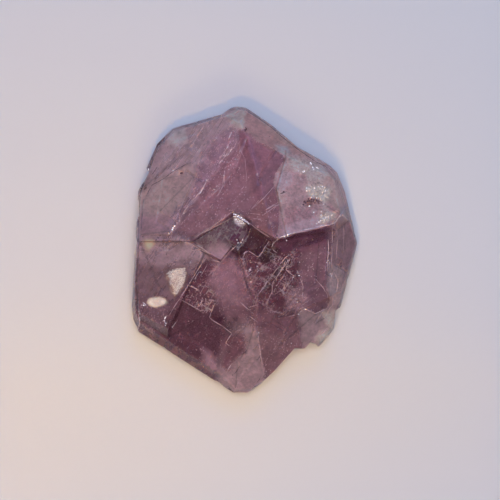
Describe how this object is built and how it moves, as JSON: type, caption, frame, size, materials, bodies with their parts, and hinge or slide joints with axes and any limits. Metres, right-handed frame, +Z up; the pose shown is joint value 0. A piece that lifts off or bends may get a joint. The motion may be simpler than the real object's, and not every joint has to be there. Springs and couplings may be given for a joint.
{
  "type": "fluorite crystal",
  "caption": "Broken octahedral fluorite crystal in translucent purple, with ledges, a frosted patch and cleavage cracks, lying on a flat underside.",
  "frame": {"origin": "centre of the object's box, at the height of the flat underside", "axes": "+Z up from the underside, +Y along the longer way of the outline towards the pointed end, +X to the right of that seen from above"},
  "size_m": [0.0396, 0.0502, 0.0219],
  "materials": {
    "fluorite_crystal": "translucent mauve to plum crystal, satin growth faces, frosted in places, with pale cleavage cracks inside"
  },
  "bodies": {
    "root": {"fluorite_crystal": "fluorite_crystal"}
  },
  "joints": []
}
